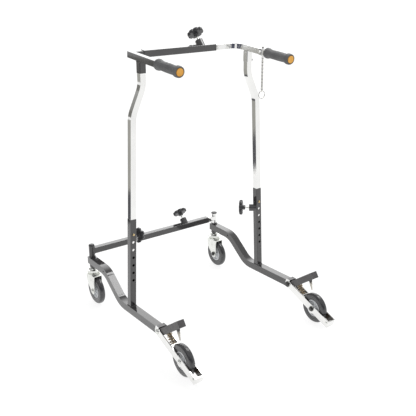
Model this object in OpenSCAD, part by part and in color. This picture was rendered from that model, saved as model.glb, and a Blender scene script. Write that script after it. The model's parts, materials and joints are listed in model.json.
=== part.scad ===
// Four-wheeled walking frame: two side frames joined at the front by telescoping crossbars, height-adjustable
// handles, swivel casters in front and weight-operated brakes behind. +X is the user's right, +Y is the way
// they walk and +Z is up. The ground is z = 0.

/* [Side frame] */
// Distance from the middle of the frame to the middle of a base tube
base_x = 323.5; // [300:1:350]
// Width and height of the square base tube
base_size = 30; // [28:1:35]
// Height of the base tube's centre line under the upright
base_z = 107.3; // [100:1:115]
// Height of the base tube's raised front run
front_z = 193.5; // [185:1:200]
// Slope of the long run, falling towards the front, in degrees
base_fall = 1.9; // [0:0.1:3]
// Steepness of the ramp in degrees
ramp_angle = 36; // [30:1:42]
// Centre-line radius of the base tube's bends
base_bend = 100; // [80:5:120]
// Wall of every tube
wall = 1.5; // [1:0.1:2]

/* [Uprights] */
// Width of the outer tubes
outer_size = 25.4; // [25:0.1:28]
// Width of the inner tubes and the handlebars
inner_size = 22.2; // [20:0.1:22.2]
// Inward lean of the uprights in degrees
lean = 2.74; // [0:0.01:4]
// Height of the outer upright's rim
rim_z = 484; // [460:1:500]
// Height of the top adjusting hole
top_hole_z = 423.6; // [410:1:430]
// Distance between the adjusting holes
hole_pitch = 31.5; // [25:0.5:35]
// Number of adjusting holes in each upright
hole_count = 7; // [5:1:7]
// Slant of the inner upright between its two bends, in degrees
slant = 24.1; // [23:0.1:26]
// Height of the upper bend in the inner upright
kink_high_z = 975; // [965:1:985]

/* [Handles] */
// Distance from the middle of the frame to a handlebar
handle_x = 242; // [235:1:250]
// Height of the handlebar's centre above the upright
handle_z = 1075; // [1060:1:1090]
// Fall of the handlebars towards the user in degrees
handle_fall = 4.26; // [0:0.01:6]
// Distance along a handlebar from the upright forward to the top crossbar
cross_out = 66; // [60:1:80]
// Distance along a handlebar from the upright back to the grip's inner end
grip_start = 110; // [100:1:120]
// Length of a grip
grip_len = 138; // [120:1:145]
// Centre-line radius of the bend in the right handlebar
corner_bend = 47; // [40:1:55]

/* [Crossbars] */
// Distance from the upright forward to the front posts
front_y = 331; // [320:1:340]
// Height of the lower crossbar
lower_z = 238.6; // [232:1:245]
// Right end of the lower outer tube
lower_end_x = 283.5; // [270:0.5:285]
// Left end of the top outer tube
upper_start_x = -195; // [-200:1:-180]
// Right end of the top outer tube
upper_end_x = 128.5; // [120:1:140]
// Place of the lower clamp knob across the frame
lower_knob_x = 160; // [140:5:180]
// Place of the top clamp knob across the frame
upper_knob_x = 70; // [40:5:90]

/* [Wheels and brakes] */
// Radius of all four wheels
wheel_r = 62.5; // [60:0.5:65]
// Width of a tyre
tyre_w = 25; // [22:1:27]
// Distance of a caster's axle behind its stem
trail = 22; // [15:1:28]
// Place of the rear axle
axle_y = -363; // [-370:1:-355]
// Place of the brake yoke's hinge pin
pivot_y = -217; // [-220:1:-212]
// Rise of the brake arm in degrees
stub_rise = 36.5; // [30:0.5:40]
// Length of the brake arm's top face
stub_len = 141; // [130:1:150]

/* [Hidden] */
$fn = 48;

// The whole frame is moved so that its bounding box is centred on the origin
frame_shift = [0, 26.5, 0];

tube_round = 2;
bend_steps = 12;
fit = 0.3;
thin = 0.05;
far = 400;

// Base tube
ramp_start = 73;
base_top_z = base_z + base_size / 2;
base_back = -228;
base_front = 346;
low_corner_z = base_z - ramp_start * tan(base_fall);
ramp_run = (front_z - low_corner_z) / tan(ramp_angle);
low_bend = ramp_angle + base_fall;
low_tangent = base_bend * tan(low_bend / 2);
high_tangent = base_bend * tan(ramp_angle / 2);
base_steps = [
    [(ramp_start - base_back) / cos(base_fall) - low_tangent, low_bend],
    [ramp_run / cos(ramp_angle) - low_tangent - high_tangent, -ramp_angle],
    [base_front - ramp_start - ramp_run - high_tangent, 0]];
base_foot = [base_back, base_z - base_back * tan(base_fall)];
base_line = bent_line(base_foot, -90 - base_fall, base_bend, base_steps);
base_plate_in = 1.8;
accessory_y = 205;
accessory_z = front_z - 1;
accessory_r = 3.2;

// Front posts and the sockets that they and the caster stems stand in
lower_inner_start = 50;
socket_r = 13;
socket_ring_r = 15;
socket_low = 163;
socket_top = 213;
socket_floor = 202;
socket_ring_h = 5;
seat_gap = 0.2;
post_bore_r = 11.2;
left_post_r = 12.7;
left_post_wall = 2.7;
right_post_r = 11.1;
post_top = 262;
cap_in = 12;
right_cap_r = 13.6;
left_cap_r = 12.2;
cap_h = 3.5;
cap_dome = 2;
stem_r = 5.5;
stop_bolt_gap = 8;
stop_bolt_r = 4.5;
stop_bolt_h = 4;

// Uprights
slope = tan(lean);
inner_low_z = top_hole_z - 85;
adjust_hole_r = 5.2;
foot_hole_r = 2.6;
foot_hole_up = 11;
foot_over = 5;
gusset = [4, 14, 16];
button_r = 4.6;
button_flange = 1.5;
button_out = 5.8;
kink_low_z = (kink_high_z * tan(slant) - base_x + handle_x - slope * base_top_z) / (tan(slant) - slope);
kink_bend = 100;
kink_low_tangent = kink_bend * tan((slant - lean) / 2);
kink_high_tangent = kink_bend * tan(slant / 2);
inner_top_z = handle_z - inner_size / 2 + 2;
lower_run = (kink_low_z - inner_low_z) / cos(lean) - kink_low_tangent;
slant_run = (kink_high_z - kink_low_z) / cos(slant) - kink_low_tangent - kink_high_tangent;
upright_steps = [
    [lower_run, slant - lean],
    [slant_run, -slant],
    [inner_top_z - kink_high_z - kink_high_tangent, 0]];
upright_foot = [base_x - slope * (inner_low_z - base_top_z), inner_low_z];
upright_line = bent_line(upright_foot, lean, kink_bend, upright_steps);
height_knob_z = top_hole_z - hole_pitch;
sleeve_low_z = 1022.7;
sleeve_play = 0.2;
sleeve_top_gap = 1.6;
sleeve_bolt_r = 2.4;
sleeve_bolt_up = 4;
sleeve_bolt_out = 8;

// Knobs: distances out from the tube's axis
boss_r = 15.5;
boss_end = 34;
screw_r = 4;
screw_tip = 16.5;
knob_hub_r = 10;
knob_start = 52;
knob_disc = 63;
knob_end = 77;
knob_r = 32;
lobe_count = 8;
lobe_bite = 7;
lobe_out = 2;

// Handlebars and grips
bar_end = grip_start + 133;
right_inner_end = -50;
left_leg_end = -170;
grip_r = 16.5;
flange_r = 20;
grip_recess = 3;
plug_r = 13.5;
plug_in = 4;
plug_step = 1.5;

// Yokes and brakes
pivot_z = base_z - pivot_y * tan(base_fall);
arm_drop = atan((pivot_z - wheel_r) / (pivot_y - axle_y));
arm_len = 253;
axle_lug_r = 15.5;
axle_lug_drop = 7;
arm_half = 15.5;
arm_in = 15.6;
arm_t = 3;
arm_out = arm_in + arm_t;
arm_root = 0.5;
bridge_edge = 1;
axle_reach = (pivot_y - axle_y) / cos(arm_drop);
pin_r = 5;
axle_r = 4;
tie_reach = 244;
tie_up = 4;
tie_r = 3;
tie_head_r = 5;
tie_head = 3;
stub_w = 28;
stub_root = 30;
stub_h = 27;
stub_wall = 2.5;
stub_top = [-232, 133];
stub_along = [-cos(stub_rise), sin(stub_rise)];
stub_down = [-sin(stub_rise), -cos(stub_rise)];
stub_under = stub_top + stub_h * stub_down;
spring_len = 42.3;
spring_at = stub_under + 27 * stub_along;
spring_r = 9.6;
spring_wire = 1.7;
spring_turns = 5;
spring_steps = 18;
spring_sides = 8;
spring_gap = 0.2;
seat_at = spring_at + spring_len * stub_down;
seat_half = 12;
adjuster_at = stub_under + 103 * stub_along;
adjuster_tilt = atan((adjuster_at[0] - axle_y) / (adjuster_at[1] - wheel_r));
adjuster_len = 42;
adjuster_tip = 3;
adjuster_in = 12;
adjuster_hole_in = 18;
adjuster_boss_r = 6.5;
adjuster_boss_in = 8.5;
lock_nut_r = 7.5;
lock_nut_h = 6.5;
nut_drop = 5.5;
pivot_head = [9, 6.5];
axle_head = [7.5, 6];
caster_head = [7, 5.5];
bridge_low = 17.5;
bridge_half = 9;

// Wheels and casters
hub_half = 15;
hub_r = 35.5;
bore_clear = 0.05;
shoulder_r = 10;
caster_leg_in = 17;
caster_leg_t = 3;
caster_leg_out = caster_leg_in + caster_leg_t;
crown_z = 133;
crown_t = 4;
race_low = 143;
race_r = 27.5;
race_t = 10;
leg_front = 28;
leg_back = 41;
leg_shoulder = 18;
leg_foot_r = 17;
crown_plate = 3;
race_lip = 5;
race_hollow = 3;
housing_h = 6;
stem_gap = 2;

// Chain
chain_y = -90;
clip_half = 8;
clip_t = 1.5;
clip_round = 3;
clip_tab = [2, 8, 7];
loop_z = 1051.3;
loop_r = 4;
loop_wire = 1;
link_pitch = 6.5;
link_count = 20;
link_wire = 0.9;
link_half = 2.5;
link_run = 4;
ring_r = 15;
ring_wire = 1.1;
link_gap = 0.1;
first_link_z = loop_z - loop_r + loop_wire + link_wire + link_gap - link_half - link_run / 2;
ring_top_z = first_link_z - (link_count - 1) * link_pitch - link_run / 2;

// ---------------------------------------------------------------- helpers

module right() {
    children();
}

module left() {
    mirror([1, 0, 0]) children();
}

module placed() {
    translate(frame_shift) children();
}

module rounded_square(size, r) {
    inner = size - 2 * r;
    square([size, inner], center = true);
    square([inner, size], center = true);
    for (x = [-1, 1], y = [-1, 1])
        translate([x, y] * inner / 2) circle(r);
}

module tube_section(size, t = wall) {
    difference() {
        rounded_square(size, tube_round);
        square(size - 2 * t, center = true);
    }
}

module square_tube(length, size, t = wall) {
    linear_extrude(length) tube_section(size, t);
}

// A tube's centre line in a plane, as stations of [place, heading]. A heading of 0 runs along +Y,
// and 90 along -X.
// Each step is a straight length and the turn after it, and the last step's turn is 0
function ahead(heading) = [-sin(heading), cos(heading)];
function aside(heading) = [-cos(heading), -sin(heading)];
function bent_line(at, heading, r, steps) = concat([[at, heading]], line_on(at, heading, r, steps, 0));
function line_on(at, heading, r, steps, i) =
    let (turn = steps[i][1], bend_at = at + steps[i][0] * ahead(heading))
    turn == 0 ? [[bend_at, heading]] : concat(
        [for (k = [0:bend_steps]) arc_station(bend_at, heading, r, turn, k / bend_steps)],
        line_on(arc_station(bend_at, heading, r, turn, 1)[0], heading + turn, r, steps, i + 1));
function arc_station(at, heading, r, turn, share) =
    let (out = sign(turn) * r, now = heading + share * turn)
    [at + out * aside(heading) - out * aside(now), now];

// A tube's two edges beside its centre line. The ends are lengthened by over
function edge_point(line, i, side, over) =
    let (push = i == 0 ? -over : i == len(line) - 1 ? over : 0)
    line[i][0] + push * ahead(line[i][1]) + side * aside(line[i][1]);
function tube_outline(line, half, over) = concat(
    [for (i = [0:len(line) - 1]) edge_point(line, i, half, over)],
    [for (i = [0:len(line) - 1]) edge_point(line, len(line) - 1 - i, -half, over)]);

module flat_bent_slab(line, size, over) {
    linear_extrude(size, center = true) polygon(tube_outline(line, size / 2, over));
}

module flat_bent_tube(line, size) {
    difference() {
        flat_bent_slab(line, size, 0);
        flat_bent_slab(line, size - 2 * wall, 1);
    }
}

// A tube with one quarter bend: it starts at the origin heading up, and turns towards +Y
module quarter_bent_tube(first, r, last, size) {
    square_tube(first, size);
    translate([0, r, first])
        rotate([0, -90, 0])
            rotate([0, 0, -90])
                rotate_extrude(angle = 90) translate([r, 0]) tube_section(size);
    translate([0, r, first + r]) rotate([-90, 0, 0]) square_tube(last, size);
}

// Children drawn along +Z are laid across the frame, towards +X
module across() {
    rotate([0, 90, 0]) children();
}

// The plane of the handlebars: local Y runs forward along them
module handle_frame() {
    translate([0, 0, handle_z]) rotate([handle_fall, 0, 0]) children();
}

// The right upright's leaning axis, with its zero at height z
module upright_at(z) {
    translate([base_x - slope * (z - base_top_z), 0, z]) rotate([0, -lean, 0]) children();
}

// The brake arm's frame on the right: local Y runs down its length away from the hinge, Z is out of its top
module stub_frame(at) {
    translate([base_x, at[0], at[1]]) rotate([-stub_rise, 0, 0]) children();
}

// The yoke's frame on the right: origin on the hinge pin, local -Y runs along the arms
module yoke_frame() {
    translate([base_x, pivot_y, pivot_z]) rotate([arm_drop, 0, 0]) children();
}

module hex_nut(r, t, bore) {
    difference() {
        cylinder(h = t, r = r, $fn = 6);
        translate([0, 0, -thin]) cylinder(h = t + 2 * thin, r = bore);
    }
}

// A bolt across the frame with its head outboard and its nut inboard, centred on the origin
module cross_bolt(r, half, head_r, head_t) {
    across() {
        translate([0, 0, -half - head_t]) cylinder(h = 2 * half + head_t + thin, r = r);
        translate([0, 0, half]) cylinder(h = head_t, r = head_r);
        translate([0, 0, -half - head_t]) hex_nut(head_r, head_t, r + thin);
    }
}

// ---------------------------------------------------------------- side frames

module base_tube() {
    difference() {
        union() {
            translate([base_x, 0, 0]) rotate([90, 0, 90]) flat_bent_tube(base_line, base_size);
            translate([base_x, front_y, 0]) {
                translate([0, 0, socket_low]) cylinder(h = socket_top - socket_low, r = socket_r);
                translate([0, 0, socket_top - socket_ring_h]) cylinder(h = socket_ring_h, r = socket_ring_r);
            }
            translate([base_x, base_front - base_plate_in, front_z]) rotate([-90, 0, 0])
                linear_extrude(wall) square(base_size - wall, center = true);
        }
        translate([base_x, front_y, socket_floor]) cylinder(h = far, r = post_bore_r);
        translate([base_x, front_y, 0]) cylinder(h = far, r = stem_r + bore_clear);
        translate([0, pivot_y, pivot_z]) across() cylinder(h = far, r = pin_r + bore_clear);
        translate([0, accessory_y, accessory_z]) across() cylinder(h = far, r = accessory_r);
    }
}

module outer_upright() {
    difference() {
        union() {
            upright_at(base_top_z)
                translate([0, 0, -foot_over]) square_tube(rim_z - base_top_z + foot_over, outer_size);
            translate([base_x - gusset[0] / 2, outer_size / 2 - 1, base_top_z - 1]) cube(gusset);
        }
        translate([base_x, 0, base_z])
            rotate([-base_fall, 0, 0])
                translate([-far / 2, -far / 2, base_size / 2 - far]) cube(far);
        for (i = [0:hole_count - 1])
            upright_at(top_hole_z - i * hole_pitch)
                rotate([90, 0, 0]) cylinder(h = far, r = adjust_hole_r);
        upright_at(base_top_z + foot_hole_up) rotate([90, 0, 0]) cylinder(h = far, r = foot_hole_r);
        upright_at(height_knob_z) clamp_axis() cylinder(h = far, r = screw_r + fit);
    }
}

// The diagonal on which a clamp screw enters a tube that stands along +Z: out towards -X and +Y
module clamp_axis() {
    rotate([0, 0, 45]) rotate([-90, 0, 0]) children();
}

module clamp_boss(size) {
    difference() {
        clamp_axis() cylinder(h = boss_end, r = boss_r);
        translate([0, 0, -far / 2]) linear_extrude(far) rounded_square(size, tube_round);
        clamp_axis() cylinder(h = far, r = screw_r + bore_clear);
    }
}

module star_knob() {
    clamp_axis() {
        translate([0, 0, screw_tip]) cylinder(h = knob_start - screw_tip, r = screw_r);
        translate([0, 0, knob_start]) cylinder(h = knob_disc - knob_start, r = knob_hub_r);
        translate([0, 0, knob_disc])
            difference() {
                cylinder(h = knob_end - knob_disc, r = knob_r);
                for (i = [0:lobe_count - 1])
                    rotate([0, 0, i * 360 / lobe_count])
                        translate([knob_r + lobe_out, 0, -thin]) cylinder(h = far, r = lobe_bite);
            }
    }
}

// The crossbars' clamps point forward and up: the tube's +Z is laid across, and its -X is turned up
module cross_clamp() {
    rotate([0, 90, 0]) children();
}

module lower_cross_outer_shape() {
    difference() {
        union() {
            translate([-base_x, front_y, lower_z]) across()
                square_tube(lower_end_x + base_x, outer_size);
            translate([-base_x, front_y, socket_top + seat_gap])
                cylinder(h = post_top - socket_top - seat_gap, r = left_post_r);
            translate([-base_x, front_y, socket_floor + seat_gap])
                cylinder(h = socket_top - socket_floor, r = right_post_r);
        }
        translate([-base_x, front_y, lower_z]) {
            translate([0, 0, -far / 2]) cylinder(h = far, r = left_post_r - left_post_wall);
            translate([-far, -far / 2, -far / 2])
                difference() {
                    cube(far);
                    translate([far, far / 2, 0]) cylinder(h = far, r = left_post_r);
                }
        }
        translate([lower_knob_x, front_y, lower_z])
            cross_clamp() clamp_axis() cylinder(h = far, r = screw_r + fit);
    }
}

module lower_cross_inner_shape() {
    difference() {
        union() {
            translate([lower_inner_start, front_y, lower_z]) across()
                square_tube(base_x - lower_inner_start, inner_size);
            translate([base_x, front_y, socket_floor + seat_gap])
                cylinder(h = post_top - socket_floor - seat_gap, r = right_post_r);
        }
        translate([base_x, front_y, socket_floor]) cylinder(h = far, r = right_post_r - wall);
    }
}

module post_cap(plug, rim) {
    neck = rim - cap_dome;
    translate([base_x, front_y, 0]) {
        translate([0, 0, post_top - cap_in]) cylinder(h = cap_in, r = plug);
        translate([0, 0, post_top]) cylinder(h = cap_h, r1 = rim, r2 = neck);
        translate([0, 0, post_top + cap_h]) cylinder(h = cap_dome, r1 = neck, r2 = neck - 2 * cap_dome);
    }
}

module brake_stub() {
    difference() {
        union() {
            stub_frame(stub_top)
                translate([-stub_w / 2, -stub_len, -stub_h])
                    cube([stub_w, stub_len + stub_root, stub_h]);
            adjuster_frame() translate([0, 0, -nut_drop])
                cylinder(h = nut_drop + adjuster_boss_in, r = adjuster_boss_r);
        }
        stub_frame(stub_top)
            translate([-stub_w / 2 + stub_wall, -stub_len + stub_wall, -stub_h + stub_wall])
                cube([stub_w - 2 * stub_wall, stub_len + stub_root, stub_h - 2 * stub_wall]);
        translate([base_x, base_back - fit, pivot_z])
            rotate([-base_fall, 0, 0]) translate([-far / 2, 0, -far / 2]) cube(far);
        adjuster_frame() translate([0, 0, adjuster_hole_in - far]) cylinder(h = far, r = axle_r + bore_clear);
    }
}

// Origin where the adjusting bolt leaves the brake arm, -Z towards the rear axle
module adjuster_frame() {
    translate([base_x, adjuster_at[0], adjuster_at[1]]) rotate([-adjuster_tilt, 0, 0]) children();
}

module brake_adjuster() {
    adjuster_frame() {
        translate([0, 0, -adjuster_len + adjuster_tip])
            cylinder(h = adjuster_len - adjuster_tip + adjuster_in, r = axle_r);
        translate([0, 0, -adjuster_len]) cylinder(h = adjuster_tip, r1 = axle_r / 2, r2 = axle_r);
        translate([0, 0, -nut_drop - lock_nut_h]) hex_nut(lock_nut_r, lock_nut_h, axle_r + thin);
    }
}

// The coil, drawn down along -Z from the origin
module coil() {
    rings = spring_turns * spring_steps;
    top = -spring_gap - spring_wire;
    drop = spring_len - 2 * (spring_wire + spring_gap);
    around = 360 / spring_sides;
    points = [for (i = [0:rings]) for (j = [0:spring_sides - 1])
        let (a = i * 360 / spring_steps, out = spring_r + spring_wire * cos(j * around))
            [out * cos(a), out * sin(a), top - drop * i / rings + spring_wire * sin(j * around)]];
    faces = [for (i = [0:rings - 1]) for (j = [0:spring_sides - 1])
        let (a = i * spring_sides, b = a + spring_sides, k = (j + 1) % spring_sides)
            [a + j, a + k, b + k, b + j]];
    first = [for (j = [0:spring_sides - 1]) spring_sides - 1 - j];
    last = [for (j = [0:spring_sides - 1]) rings * spring_sides + j];
    polyhedron(points, concat(faces, [first, last]));
}

module brake_spring() {
    stub_frame(spring_at) coil();
}

module caster_stem() {
    translate([base_x, front_y, 0]) {
        translate([0, 0, race_low]) cylinder(h = socket_floor - race_low - stem_gap, r = stem_r);
        difference() {
            translate([0, 0, race_low]) cylinder(h = race_t, r = race_r);
            translate([0, 0, race_low - thin]) cylinder(h = race_hollow, r = race_r - race_lip);
        }
        translate([0, 0, race_low + race_t])
            cylinder(h = housing_h, r1 = socket_ring_r + 4, r2 = socket_ring_r);
        translate([0, 0, crown_z - crown_plate])
            cylinder(h = race_low - crown_z + crown_plate + 1, r = stem_r);
    }
}

// ---------------------------------------------------------------- yokes

module arm_shape() {
    difference() {
        union() {
            circle(arm_half);
            translate([-arm_len, -arm_half]) square([arm_len, 2 * arm_half]);
            translate([-axle_reach, -axle_lug_drop]) circle(axle_lug_r);
            rotate(-arm_drop)
                polygon([[-bridge_half - bridge_edge, 0], [-bridge_half - bridge_edge, bridge_low + arm_t],
                    [bridge_half + bridge_edge, bridge_low + arm_t], [arm_half, 0]]);
        }
        circle(pin_r + bore_clear);
        translate([-axle_reach, 0]) circle(axle_r + bore_clear);
        translate([-tie_reach, tie_up]) circle(tie_r + bore_clear);
    }
}

// Both arms are cut from one outline: its X runs forward along the arm and its Y is up
module yoke_arm(x) {
    translate([x, 0, 0]) rotate([90, 0, 90]) linear_extrude(arm_t) arm_shape();
}

module yoke() {
    yoke_frame() {
        yoke_arm(arm_in);
        yoke_arm(-arm_out);
        cross_plate([-arm_len, -arm_half], [arm_t, 2 * arm_half]);
    }
    translate([base_x, pivot_y, pivot_z]) cross_plate([-bridge_half, bridge_low], [2 * bridge_half, arm_t]);
    stub_frame(seat_at) cross_plate([-seat_half, -arm_t], [2 * seat_half, arm_t]);
}

// A plate welded between the two arms, from a low corner in Y and Z
module cross_plate(low, size) {
    reach = arm_in + arm_root;
    translate([-reach, low[0], low[1]]) cube([2 * reach, size[0], size[1]]);
}

module yoke_bolts() {
    yoke_frame() {
        translate([0, -axle_reach, 0]) cross_bolt(axle_r, arm_out + thin, axle_head[0], axle_head[1]);
        translate([0, -tie_reach, tie_up]) across() {
            translate([0, 0, -arm_out - tie_head]) cylinder(h = 2 * (arm_out + tie_head), r = tie_r);
            translate([0, 0, arm_out + thin]) cylinder(h = tie_head, r = tie_head_r);
            translate([0, 0, -arm_out - thin - tie_head]) cylinder(h = tie_head, r = tie_head_r);
        }
    }
}

module pivot_bolt() {
    yoke_frame() cross_bolt(pin_r, arm_out + thin, pivot_head[0], pivot_head[1]);
}

// ---------------------------------------------------------------- wheels

module wheel_frame(y, z) {
    translate([base_x, y, z]) across() children();
}

module tyre() {
    rotate_extrude($fn = 96) {
        half = tyre_w / 2;
        flat_half = half - shoulder_r;
        translate([hub_r, -half]) square([wheel_r - hub_r - shoulder_r, tyre_w]);
        translate([wheel_r - shoulder_r - thin, -flat_half]) square([shoulder_r + thin, 2 * flat_half]);
        for (s = [-1, 1])
            translate([wheel_r - shoulder_r, s * flat_half]) circle(shoulder_r);
    }
}

module hub() {
    bore = axle_r + bore_clear;
    rim = hub_r - thin;
    rotate_extrude($fn = 96)
        polygon([[bore, -hub_half], [11, -hub_half], [13, -6], [29, -5], [31, -10.5], [rim, -10.5],
            [rim, 10.5], [31, 10.5], [29, 5], [13, 6], [11, hub_half], [bore, hub_half]]);
}

module caster_leg_shape() {
    difference() {
        union() {
            polygon([[-leg_back, crown_z], [leg_front, crown_z], [leg_front - 1, crown_z - leg_shoulder],
                [leg_front - 6, crown_z - 2 * leg_shoulder], [leg_front - 16, crown_z - 3 * leg_shoulder],
                [leg_foot_r - trail - 1, wheel_r - 2], [-trail - leg_foot_r, wheel_r - 2],
                [-leg_back, wheel_r + leg_shoulder]]);
            translate([-trail, wheel_r]) circle(leg_foot_r);
        }
        translate([-trail, wheel_r]) circle(axle_r + bore_clear);
    }
}

module caster_fork() {
    translate([base_x, front_y, 0]) {
        for (x = [caster_leg_in, -caster_leg_out])
            translate([x, 0, 0]) rotate([90, 0, 90]) linear_extrude(caster_leg_t) caster_leg_shape();
        difference() {
            union() {
                translate([0, 0, crown_z]) cylinder(h = crown_t, r = race_r + 1);
                translate([-caster_leg_out, -leg_back, crown_z - crown_plate])
                    cube([2 * caster_leg_out, leg_back + leg_front, crown_plate + thin]);
            }
            cylinder(h = far, r = stem_r + bore_clear);
        }
    }
}

module caster_axle() {
    translate([base_x, front_y - trail, wheel_r])
        cross_bolt(axle_r, caster_leg_out + thin, caster_head[0], caster_head[1]);
}

// ---------------------------------------------------------------- handles

module inner_upright() {
    difference() {
        rotate([90, 0, 0]) flat_bent_tube(upright_line, inner_size);
        upright_at(top_hole_z) rotate([90, 0, 0]) cylinder(h = far, r = button_r + bore_clear);
        handle_frame() translate([0, -far / 2, -inner_size / 2]) cube(far);
    }
}

module snap_button() {
    upright_at(top_hole_z)
        rotate([90, 0, 0]) {
            inside = inner_size / 2 - wall;
            translate([0, 0, inside - button_flange])
                cylinder(h = button_flange - thin, r = button_r + button_flange);
            translate([0, 0, inside - button_flange]) cylinder(h = button_flange + button_out, r = button_r);
            translate([0, 0, inside + button_out]) cylinder(h = 1, r1 = button_r, r2 = button_r - 1);
        }
}

module handle_sleeve() {
    translate([handle_x, 0, sleeve_low_z])
        difference() {
            linear_extrude(handle_z - inner_size / 2 - sleeve_top_gap - sleeve_low_z)
                difference() {
                    rounded_square(outer_size, tube_round);
                    square(inner_size + sleeve_play, center = true);
                }
            translate([0, 0, sleeve_bolt_up]) across() cylinder(h = far, r = sleeve_bolt_r + thin);
        }
}

module bar_outline(t) {
    x0 = -handle_x - inner_size / 2 + t;
    x1 = -handle_x + inner_size / 2 - t;
    y0 = cross_out - inner_size / 2 + t;
    y1 = cross_out + inner_size / 2 - t;
    over = t > 0 ? 1 : 0;
    polygon([[x0, -bar_end - over], [x0, y1], [left_leg_end + over, y1], [left_leg_end + over, y0],
        [x1, y0], [x1, -bar_end - over]]);
}

module left_bar() {
    handle_frame()
        difference() {
            translate([0, 0, -inner_size / 2]) linear_extrude(inner_size) bar_outline(0);
            translate([0, 0, -inner_size / 2 + wall]) linear_extrude(inner_size - 2 * wall) bar_outline(wall);
        }
}

module right_bar() {
    along = bar_end + cross_out - corner_bend;
    across_run = handle_x - corner_bend - right_inner_end;
    handle_frame()
        translate([handle_x, -bar_end, 0])
            rotate([0, 90, 0])
                rotate([-90, 0, 0]) quarter_bent_tube(along, corner_bend, across_run, inner_size);
}

module upper_outer() {
    handle_frame()
        difference() {
            translate([upper_start_x, cross_out, 0]) across()
                linear_extrude(upper_end_x - upper_start_x)
                    difference() {
                        rounded_square(outer_size, tube_round);
                        square(inner_size + 2 * fit, center = true);
                    }
            translate([upper_knob_x, cross_out, 0])
                cross_clamp() clamp_axis() cylinder(h = far, r = screw_r + fit);
        }
}

module grip() {
    handle_frame()
        translate([handle_x, -grip_start, 0])
            rotate([90, 0, 0])
                difference() {
                    rotate_extrude()
                        polygon([[0, 0], [14, 0], [18.5, 4], [flange_r, 10], [flange_r, 14], [18, 22],
                            [grip_r, 30], [grip_r, 112], [grip_r + 0.7, 117], [flange_r - 0.5, 121],
                            [flange_r, 126], [flange_r - 0.5, grip_len - grip_recess], [17.5, grip_len],
                            [plug_r + 2.2, grip_len], [plug_r + 2.2, grip_len - grip_recess],
                            [0, grip_len - grip_recess]]);
                    translate([0, 0, -thin])
                        linear_extrude(bar_end - grip_start + fit)
                            square(inner_size + sleeve_play, center = true);
                    translate([0, 0, bar_end - grip_start]) cylinder(h = far, r = plug_r - plug_step);
                }
}

module grip_plug() {
    handle_frame()
        translate([handle_x, -bar_end, 0])
            rotate([90, 0, 0]) {
                translate([0, 0, fit]) cylinder(h = plug_in, r = plug_r - plug_step - thin);
                translate([0, 0, plug_in - 2]) cylinder(h = 3, r = plug_r);
                translate([0, 0, plug_in + 1]) cylinder(h = 1, r1 = plug_r, r2 = plug_r - 1);
            }
}

// ---------------------------------------------------------------- chain

module clip() {
    handle_frame()
        translate([handle_x, chain_y, 0]) {
            rotate([90, 0, 0])
                linear_extrude(2 * clip_half, center = true)
                    difference() {
                        rounded_square(inner_size + 2 * clip_t, clip_round);
                        square(inner_size + sleeve_play, center = true);
                    }
            translate([-clip_tab[0] / 2, -clip_tab[1] / 2, inner_size / 2 + clip_t / 2]) cube(clip_tab);
        }
    translate([handle_x, chain_y, loop_z])
        rotate([0, 90, 0]) rotate_extrude() translate([loop_r, 0]) circle(loop_wire);
}

// One link, standing along Z and centred on the origin, in the XZ plane
module link() {
    rotate([90, 0, 0])
        for (s = [0, 1])
            mirror([0, s, 0]) {
                translate([0, link_run / 2, 0])
                    rotate_extrude(angle = 180) translate([link_half, 0]) circle(link_wire, $fn = 24);
                for (x = [-link_half, link_half])
                    translate([x, link_run / 2, 0])
                        rotate([90, 0, 0]) cylinder(h = link_run / 2, r = link_wire, $fn = 24);
            }
}

module links() {
    for (i = [0:link_count - 1])
        translate([handle_x, chain_y, first_link_z - i * link_pitch])
            rotate([0, 0, 90 * (i % 2)]) link();
}

module key_ring() {
    translate([handle_x, chain_y, ring_top_z - ring_r])
        rotate([90, 0, 0]) rotate_extrude($fn = 64) translate([ring_r, 0]) circle(ring_wire, $fn = 24);
}

// ---------------------------------------------------------------- nodes

black = [0.20, 0.20, 0.21];
bright = [0.82, 0.82, 0.80];
zinc = [0.75, 0.75, 0.68];
rubber = [0.13, 0.13, 0.14];

module left_base_tube() { color(black) placed() left() base_tube(); }
module right_base_tube() { color(black) placed() right() base_tube(); }
module left_outer_upright() { color(black) placed() left() outer_upright(); }
module right_outer_upright() { color(black) placed() right() outer_upright(); }
module left_height_boss() {
    color(black) placed() left() upright_at(height_knob_z) clamp_boss(outer_size);
}
module right_height_boss() {
    color(black) placed() right() upright_at(height_knob_z) clamp_boss(outer_size);
}
module left_height_knob() { color(rubber) placed() left() upright_at(height_knob_z) star_knob(); }
module right_height_knob() { color(rubber) placed() right() upright_at(height_knob_z) star_knob(); }
module lower_cross_outer() { color(black) placed() lower_cross_outer_shape(); }
module lower_cross_inner() { color(bright) placed() lower_cross_inner_shape(); }
module left_post_cap() {
    color(black) placed() left() post_cap(left_post_r - left_post_wall - thin, left_cap_r);
}
module right_post_cap() { color(black) placed() right() post_cap(right_post_r - wall - thin, right_cap_r); }
module lower_width_boss() {
    color(black) placed() translate([lower_knob_x, front_y, lower_z]) cross_clamp() clamp_boss(outer_size);
}
module lower_width_knob() {
    color(rubber) placed() translate([lower_knob_x, front_y, lower_z]) cross_clamp() star_knob();
}
module upper_width_boss() {
    color(black) placed() handle_frame()
        translate([upper_knob_x, cross_out, 0]) cross_clamp() clamp_boss(outer_size);
}
module upper_width_knob() {
    color(rubber) placed() handle_frame()
        translate([upper_knob_x, cross_out, 0]) cross_clamp() star_knob();
}
module cross_stop_bolt() {
    color(black) placed()
        translate([lower_end_x + stop_bolt_gap, front_y - inner_size / 2, lower_z])
            rotate([90, 0, 0]) cylinder(h = stop_bolt_h, r = stop_bolt_r);
}
module left_brake_stub() { color(black) placed() left() brake_stub(); }
module right_brake_stub() { color(black) placed() right() brake_stub(); }
module left_brake_adjuster() { color(zinc) placed() left() brake_adjuster(); }
module right_brake_adjuster() { color(zinc) placed() right() brake_adjuster(); }
module left_pivot_bolt() { color(bright) placed() left() pivot_bolt(); }
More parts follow.
